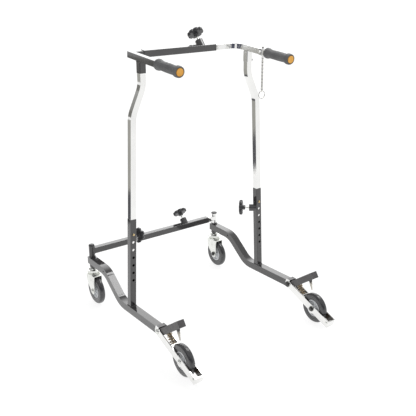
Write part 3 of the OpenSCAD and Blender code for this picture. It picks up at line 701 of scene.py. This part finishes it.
def make_adjuster(side, looks):
    """The stud that the wheel meets, thick under the arm and thin at its tip."""
    node = f"{side}_brake_adjuster"
    middle = centre(node)
    place = turned_to(middle, middle - joint_at(f"{side}_rear_spin"))
    tip = [(0, -27), (1.6, -27), (2.8, -23), (3.6, -12), (5, -4)]
    collar = [(5.6, -2.5), (5.6, 8), (5, 9), (4, 9.2)]
    bm = bmesh.new()
    lathe_into(bm, in_mm(tip + collar + [(4, 27), (0, 27)]), place, 24)
    stud = add_piece(f"{side}_stepped_stud", bm, looks["stud"], f"{side}_side")
    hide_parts(node)


def make_sleeve_bolt(looks):
    """The bolt that stands out of the right sleeve: a thin shank and a cap head."""
    low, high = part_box("right_sleeve_bolt")
    at = Vector((low.x, (low.y + high.y) / 2, (low.z + high.z) / 2))
    shank = [(0, 0), (2.3, 0), (2.3, 6.4)]
    head = [(3.7, 6.6), (3.9, 7.2), (3.9, 11.2), (3.2, 12.2), (0, 12.4)]
    bm = bmesh.new()
    lathe_into(bm, in_mm(shank + head), turned_to(at, (1, 0, 0)), 24)
    bolt = add_piece("right_sleeve_cap_bolt", bm, looks["black_oxide"], "right_top")
    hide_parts("right_sleeve_bolt")


# ---------------------------------------------------------------- brake springs

COIL_R = 9.6
COIL_WIRE = 1.75
COIL_TURNS = 5
COIL_LEN = 38.5
COIL_STEPS = 28
CLOSED_TURNS = 0.75
CLOSED_SHARE = 0.25
STUB_RISE = math.radians(36.5)


def make_spring(side, looks):
    """A coil with closed ends, between the yoke and the arm."""
    down = Vector((0, -math.sin(STUB_RISE), -math.cos(STUB_RISE)))
    middle = centre(f"{side}_brake_spring")
    top = middle - down * COIL_LEN / 2 * MM
    place = turned_to(top, down, (1, 0, 0))
    steps = COIL_TURNS * COIL_STEPS
    closed = CLOSED_TURNS / COIL_TURNS
    points = []
    for i in range(steps + 1):
        share = i / steps
        a = 2 * math.pi * COIL_TURNS * share
        open_share = min(max((share - closed) / (1 - 2 * closed), 0), 1)
        rise = (CLOSED_SHARE * share + (1 - CLOSED_SHARE) * open_share) * COIL_LEN * MM
        points.append(place @ Vector((COIL_R * MM * math.cos(a), COIL_R * MM * math.sin(a), rise)))
    bm = bmesh.new()
    sweep_into(bm, points, COIL_WIRE * MM, 12)
    spring = add_piece(f"{side}_coil_spring", bm, looks["spring"], f"{side}_side", 60)
    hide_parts(f"{side}_brake_spring")
    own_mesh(spring)


# ---------------------------------------------------------------- knobs

KNOB_LOBES = 8
KNOB_TOP = 77
KNOB_R = 32
GROOVE_START = 17
GROOVE_RUN = 13
GROOVE_DEPTH = 0.17
STUD_R = 4
STUD_LOW = 17
THREAD_LOW = 19
THREAD_PITCH = 1
THREAD_DEPTH = 0.35
THREAD_ROWS = 67


def lobed(angle, r, h):
    """Scales a knob's radius: grooves between the lobes, fading towards the middle."""
    share = min(max((r / MM - GROOVE_START) / GROOVE_RUN, 0), 1)
    groove = max(0.0, math.cos(KNOB_LOBES * angle)) ** 1.6
    return 1 - GROOVE_DEPTH * share * groove


def make_knob(name, joint, looks):
    """A star knob moulded on a threaded stud. Heights run from the axis of the tube that it clamps."""
    place = turned_to(joint_at(joint), joint_axis(joint))
    neck = [(0, 52), (9.2, 52), (10, 52.8), (10, 61), (11, 62.6), (14, 63.4), (20, 63.6)]
    disc = [(27, 63.2), (30.4, 63.6), (31.6, 64.8), (KNOB_R, 67), (KNOB_R, 72.6), (31.4, 75), (29.6, 76.4),
            (26.5, 76.9), (20, 75.8), (13, 75.4), (11.6, 75.6), (11, 76.6), (9.6, KNOB_TOP),
            (0, KNOB_TOP + 0.4)]
    bm = bmesh.new()
    lathe_into(bm, in_mm(neck + disc), place, 128, wave=lobed)
    knob = add_piece(f"{name}_moulded", bm, looks["knob"], name, 40)
    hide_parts(name)
    threads = [(STUD_R - THREAD_DEPTH * (i % 2), THREAD_LOW + THREAD_PITCH / 2 * i)
               for i in range(THREAD_ROWS)]
    bm = bmesh.new()
    lathe_into(bm, in_mm([(0, STUD_LOW), (STUD_R - 1, STUD_LOW)] + threads + [(0, 53)]), place, 24)
    add_piece(f"{name}_stud", bm, looks["zinc"], name, 70)


# ---------------------------------------------------------------- grips

GRIP_LEN = 138
GRIP_BODY_R = 16.5
HANDLE_FALL = math.radians(4.26)


def grip_profile():
    """A flanged nose towards the front, a barrel body, and a flanged heel with a recess for the plug."""
    nose = [(9, 0.4), (13.2, 0), (16.4, 1.4), (18.8, 4.2), (20, 8.4), (20, 13.4), (19.2, 17.4), (17.8, 22),
            (16.8, 28), (GRIP_BODY_R, 36)]
    body = [(16.9, 56), (17.1, 76), (16.8, 96), (GRIP_BODY_R, 110)]
    heel = [(16.9, 115), (18.6, 118.4), (20, 121.6), (20.2, 126), (20, 132), (19.2, 135.6), (17.6, GRIP_LEN),
            (15.6, GRIP_LEN), (14.7, GRIP_LEN - 1.4), (14.2, GRIP_LEN - 5), (9, GRIP_LEN - 5)]
    return in_mm(nose + body + heel)


def make_grip(side, looks):
    back = Vector((0, -math.cos(HANDLE_FALL), -math.sin(HANDLE_FALL)))
    start = centre(f"{side}_grip") - back * GRIP_LEN / 2 * MM
    place = turned_to(start, back, (1, 0, 0))
    body = f"{side}_top"
    bm = bmesh.new()
    lathe_into(bm, grip_profile(), place, 72, closed=True)
    grip = add_piece(f"{side}_grip_foam", bm, looks["grip"], body, 50)
    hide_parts(f"{side}_grip")
    face = [(0, GRIP_LEN - 4.8), (12.8, GRIP_LEN - 4.8), (13.6, GRIP_LEN - 4), (13.6, GRIP_LEN + 0.2),
            (13.0, GRIP_LEN + 0.9), (11.2, GRIP_LEN + 1.3), (10.6, GRIP_LEN + 1.0), (6, GRIP_LEN + 1.4),
            (0, GRIP_LEN + 1.6)]
    bm = bmesh.new()
    lathe_into(bm, in_mm(face), place, 64)
    plug = add_piece(f"{side}_grip_plug_domed", bm, looks["grip_plug"], body, 40)
    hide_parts(f"{side}_grip_plug")


# ---------------------------------------------------------------- chain, clip and split ring

LINK_PITCH = 6.5
LINK_HALF = 3.3
LINK_RUN = 2.4
LINK_WIRE = 0.95
LINK_COUNT = 20
LINK_STEPS = 12
LOOP_R = 4
LOOP_WIRE = 1
LINK_PLAY = 1


def stadium(place):
    """The centre line of a link, standing along local Z."""
    points = []
    for way in (1, -1):
        for i in range(LINK_STEPS + 1):
            a = math.pi * i / LINK_STEPS
            across = way * LINK_HALF * math.cos(a)
            height = way * (LINK_RUN / 2 + LINK_HALF * math.sin(a))
            points.append(place @ Vector((across * MM, 0, height * MM)))
    return points


def make_chain(looks):
    """Welded links, each turned a quarter from the last, that hang from the clip's loop."""
    drop = LOOP_R - LOOP_WIRE - LINK_PLAY + LINK_HALF + LINK_RUN / 2
    first = joint_at("chain_swing") - Vector((0, 0, drop * MM))
    bm = bmesh.new()
    for i in range(LINK_COUNT):
        at = first - Vector((0, 0, i * LINK_PITCH * MM))
        place = Matrix.Translation(at) @ Matrix.Rotation(math.radians(90 * (i % 2)), 4, "Z")
        sweep_into(bm, stadium(place), LINK_WIRE * MM, 10, closed=True)
    chain = add_piece("bright_chain", bm, looks["chain"], "chain", 60)
    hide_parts("chain_links")


RING_R = 15
RING_WIRE = 0.8
RING_TURNS = 1.94
RING_START = math.radians(68)
RING_STEPS = 150


def make_split_ring(looks):
    """Two turns of wire, lying against each other."""
    middle = joint_at("ring_swing") - Vector((0, 0, RING_R * MM))
    points = []
    for i in range(RING_STEPS + 1):
        share = i / RING_STEPS
        a = RING_START + 2 * math.pi * RING_TURNS * share
        lift = (share - 0.5) * 2 * RING_WIRE * MM
        points.append(middle + Vector((RING_R * MM * math.cos(a), lift, RING_R * MM * math.sin(a))))
    bm = bmesh.new()
    sweep_into(bm, points, RING_WIRE * MM, 10)
    ring = add_piece("split_ring_coiled", bm, looks["chain"], "split_ring", 60)
    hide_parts("split_ring")


def rounded_loop(half, corner, steps=4):
    """Points round a rounded square in local XY."""
    points = []
    for quarter in range(4):
        base = math.pi / 2 * quarter
        cx = (half - corner) * (1 if quarter in (0, 3) else -1)
        cy = (half - corner) * (1 if quarter in (0, 1) else -1)
        for i in range(steps + 1):
            a = base + math.pi / 2 * i / steps
            points.append((cx + corner * math.cos(a), cy + corner * math.sin(a)))
    return points


BAND_CORNER = 2.4
BAND_END = 8
EAR_T = 1
EAR_SIDES = (-1.6, 0.6)
SCREW_RISE = 15.8
LOOP_STEPS = 32


def make_clip(looks):
    """A band round the bar, with a screw tab on top and a wire loop underneath."""
    loop = joint_at("chain_swing")
    along = Vector((0, math.cos(HANDLE_FALL), math.sin(HANDLE_FALL)))
    grip = centre("right_grip")
    middle = Vector((loop.x, loop.y, grip.z + (loop.y - grip.y) * math.tan(HANDLE_FALL)))
    place = turned_to(middle, along, (1, 0, 0))

    def vert(x, up, y):
        """A point of the clip, across the bar, up from its middle and along it."""
        return bm.verts.new(place @ Vector((x * MM, -up * MM, y * MM)))

    bm = bmesh.new()
    section = ((11.3, -BAND_END), (12.3, -BAND_END), (12.7, 0.5 - BAND_END), (12.7, BAND_END - 0.5),
               (12.3, BAND_END), (11.3, BAND_END))
    band = [[vert(x, -y, end) for x, y in rounded_loop(half, BAND_CORNER)] for half, end in section]
    skin_rings(bm, band, True)
    outline = ((-4, 12.2), (4, 12.2), (4, 18), (2.6, 19.6), (-2.6, 19.6), (-4, 18))
    for x in EAR_SIDES:
        ear = [[vert(x + t, up, y) for y, up in outline] for t in (0, EAR_T)]
        skin_rings(bm, ear, False)
    turns = [2 * math.pi * i / LOOP_STEPS for i in range(LOOP_STEPS)]
    wire = [loop + Vector((0, LOOP_R * MM * math.cos(a), LOOP_R * MM * math.sin(a))) for a in turns]
    sweep_into(bm, wire, LOOP_WIRE * MM, 12, closed=True)
    clip = add_piece("chain_clip_band", bm, looks["chrome"], "right_top", 40)
    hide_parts("chain_clip")
    bm = bmesh.new()
    screw = place @ Vector((0, -SCREW_RISE * MM, 0))
    lathe_into(bm, domed_head(2.8, 2.2), turned_to(screw + Vector((1.6 * MM, 0, 0)), (1, 0, 0)), 28)
    lathe_into(bm, in_mm([(0, -5), (1.4, -5), (1.4, 2), (0, 2)]), turned_to(screw, (1, 0, 0)), 20)
    add_piece("chain_clip_screw", bm, looks["black_oxide"], "right_top")


# ---------------------------------------------------------------- caps, buttons and welds

CAP_PLUG_R = 9.5
CAP_RIM_UP = 12.05
BUTTON_R = 4.55
FOOT_SLOPE = math.radians(1.9)


def make_cap(side, looks):
    """A plug with a domed head, as wide as the CAD's."""
    low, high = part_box(f"{side}_post_cap")
    middle = (low + high) / 2
    r = (high.x - low.x) / 2 / MM
    place = turned_to((middle.x, middle.y, low.z), (0, 0, 1))
    plug = [(0, 0), (CAP_PLUG_R - 0.8, 0), (CAP_PLUG_R, 0.8), (CAP_PLUG_R, CAP_RIM_UP)]
    dome = [(r - 0.5, CAP_RIM_UP), (r, 12.6), (r, 13.8), (r - 0.8, 15.4), (r - 2.4, 16.6), (r - 5.2, 17.2),
            (0, 17.5)]
    bm = bmesh.new()
    lathe_into(bm, in_mm(plug + dome), place, 56)
    cap = add_piece(f"{side}_post_cap_domed", bm, looks["cap"], f"{side}_side", 40)
    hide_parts(f"{side}_post_cap")


def make_button(side, looks):
    """A round-nosed button with its seat, as long as the CAD's."""
    low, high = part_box(f"{side}_snap_button")
    middle = (low + high) / 2
    length = (high.y - low.y) / MM
    place = turned_to((middle.x, high.y, middle.z), (0, -1, 0))
    seat = [(0, 0), (6, 0), (6, 1.2), (BUTTON_R, 1.5)]
    nose = [(BUTTON_R, length - 2.2), (4.2, length - 1.1), (3.2, length - 0.35), (1.6, length - 0.05),
            (0, length)]
    bm = bmesh.new()
    lathe_into(bm, in_mm(seat + nose), place, 40)
    button = add_piece(f"{side}_snap_button_domed", bm, looks["brass"], f"{side}_snap_button", 45)
    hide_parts(f"{side}_snap_button")


def weld_bead(name, points, body, looks, r):
    """A closed run of weld with its ripples. Its average radius is r millimetres."""
    whole = []
    spacing = 0.55 * MM
    count = len(points)
    for i in range(count):
        a, b = points[i], points[(i + 1) % count]
        parts = max(1, round((b - a).length / spacing))
        whole += [a.lerp(b, k / parts) for k in range(parts)]
    ripple = max(8, round(len(whole) * spacing / (2.6 * MM)))

    def size(share):
        return r * MM * (1 + 0.13 * math.cos(2 * math.pi * ripple * share)
                         + 0.08 * math.sin(2 * math.pi * 3 * share + 1))

    bm = bmesh.new()
    sweep_into(bm, whole, size, 8, closed=True)
    add_piece(name, bm, looks["weld"], body, 60)


def make_welds(looks):
    for side, sign in SIDES:
        base_low, base_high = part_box(f"{side}_base_tube")
        foot_x = sign * (abs(base_low.x) + abs(base_high.x)) / 2
        foot_y = centre(f"{side}_inner_upright").y
        foot_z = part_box(f"{side}_outer_upright")[0].z + 1.2 * MM
        foot = Vector((foot_x, foot_y, foot_z))
        square = [foot + Vector((x, y, -y * math.tan(FOOT_SLOPE))) * MM for x, y in rounded_loop(13.1, 2.6)]
        weld_bead(f"{side}_foot_weld", square, f"{side}_side", looks, 2.0)
    low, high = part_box("left_handle_sleeve")
    top = Vector(((low.x + high.x) / 2, (low.y + high.y) / 2, high.z + 0.6 * MM))
    collar = [top + Vector((x, y, y * math.tan(HANDLE_FALL))) * MM for x, y in rounded_loop(12.6, 2.2)]
    weld_bead("left_sleeve_weld", collar, "left_top", looks, 1.3)
    post = centre("left_post_cap")
    bar = Vector((post.x, post.y, joint_at("lower_knob_turn").z))
    half = 12.9 * MM
    turns = [math.radians(-90 + 15 * i) for i in range(13)]
    arcs = [Vector((math.cos(a), math.sin(a), 0)) * half for a in turns]
    rise = Vector((0, 0, half))
    saddle = [bar + rise + p for p in arcs] + [bar - rise + p for p in reversed(arcs)]
    weld_bead("left_post_weld", saddle, "left_side", looks, 1.5)


# ---------------------------------------------------------------- the whole frame

def make_looks():
    materials = [black_paint(), chrome(), zinc(), arm_paint(), black_oxide(), tyre_rubber(), hub_plastic(),
                 spring_steel(), grip_foam(), plug_plastic(), knob_plastic(), cap_plastic(), brass(),
                 weld_paint(), yoke_plate("left"), yoke_plate("right"), chain_steel(), stud_steel()]
    return {material.name.removesuffix(LOOK): material for material in materials}


def main():
    make_studio()
    looks = make_looks()
    dress_nodes(looks)
    for side, sign in SIDES:
        make_wheel(f"{side}_rear", f"{side}_rear_spin", f"{side}_rear_wheel", looks)
        make_wheel(f"{side}_front", f"{side}_front_spin", f"{side}_front_wheel", looks)
        make_bolts(side, sign, looks)
        make_spring(side, looks)
        make_adjuster(side, looks)
        make_knob(f"{side}_height_knob", f"{side}_height_knob_turn", looks)
        make_grip(side, looks)
        make_cap(side, looks)
        make_button(side, looks)
    make_knob("lower_width_knob", "lower_knob_turn", looks)
    make_knob("upper_width_knob", "upper_knob_turn", looks)
    make_sleeve_bolt(looks)
    make_chain(looks)
    make_split_ring(looks)
    make_clip(looks)
    make_welds(looks)


main()
bpy.context.view_layer.update()
